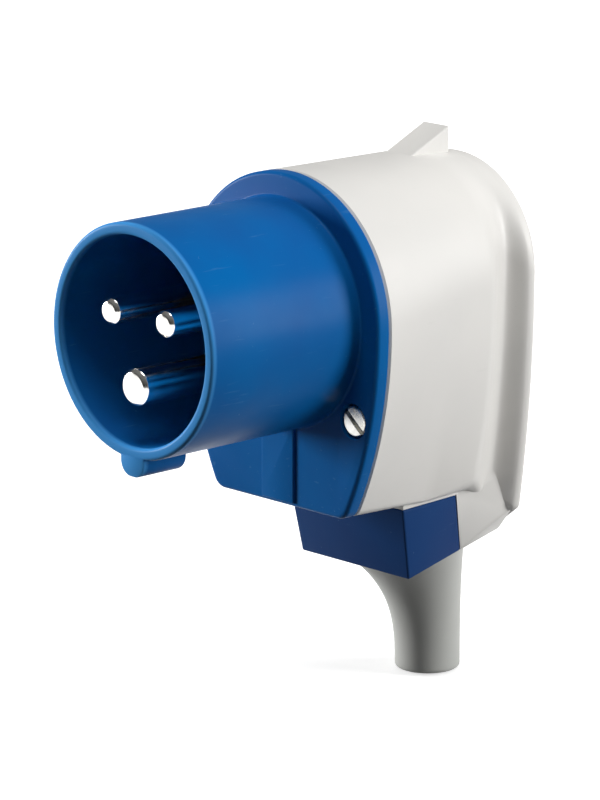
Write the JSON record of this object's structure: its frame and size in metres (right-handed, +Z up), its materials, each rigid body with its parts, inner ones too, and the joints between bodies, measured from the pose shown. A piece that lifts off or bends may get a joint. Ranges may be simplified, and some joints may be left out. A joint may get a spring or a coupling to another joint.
{
  "type": "right-angle industrial plug",
  "caption": "Right-angle industrial plug: round keyed shroud round its contact pins, flanged front cover, rounded rear housing and a cable clamp with a flared sleeve pointing down.",
  "frame": {"origin": "centre of the shroud's mouth, on its front rim's plane", "axes": "-Y points out of the shroud's mouth towards the socket, +Z is up and the cable leaves downwards, +X is to the right seen from the mouth"},
  "size_m": [0.0524, 0.0836, 0.1061],
  "materials": {
    "housing": "satin moulded light grey",
    "cover": "glossy moulded blue",
    "clamp": "satin moulded dark blue",
    "carrier": "moulded black",
    "retainer": "moulded black",
    "sleeve": "satin flexible light grey",
    "pin": "nickel plated, polished",
    "screw": "zinc plated",
    "insert": "plain turned brass",
    "gasket": "moulded black rubber",
    "seal": "moulded black rubber"
  },
  "bodies": {
    "root": {"front_cover": "cover", "rear_housing": "housing", "cable_clamp": "clamp", "cable_sleeve": "sleeve", "live_pin": "pin", "neutral_pin": "pin", "earth_pin": "pin", "contact_carrier": "carrier", "cover_screws": "screw", "pin_retainer": "retainer", "retainer_screw": "screw", "terminal_screws": "screw", "carrier_screws": "screw", "cover_inserts": "insert", "cover_gasket": "gasket", "clamp_screws": "screw", "clamp_nuts": "screw", "cable_seal": "seal"}
  },
  "joints": []
}
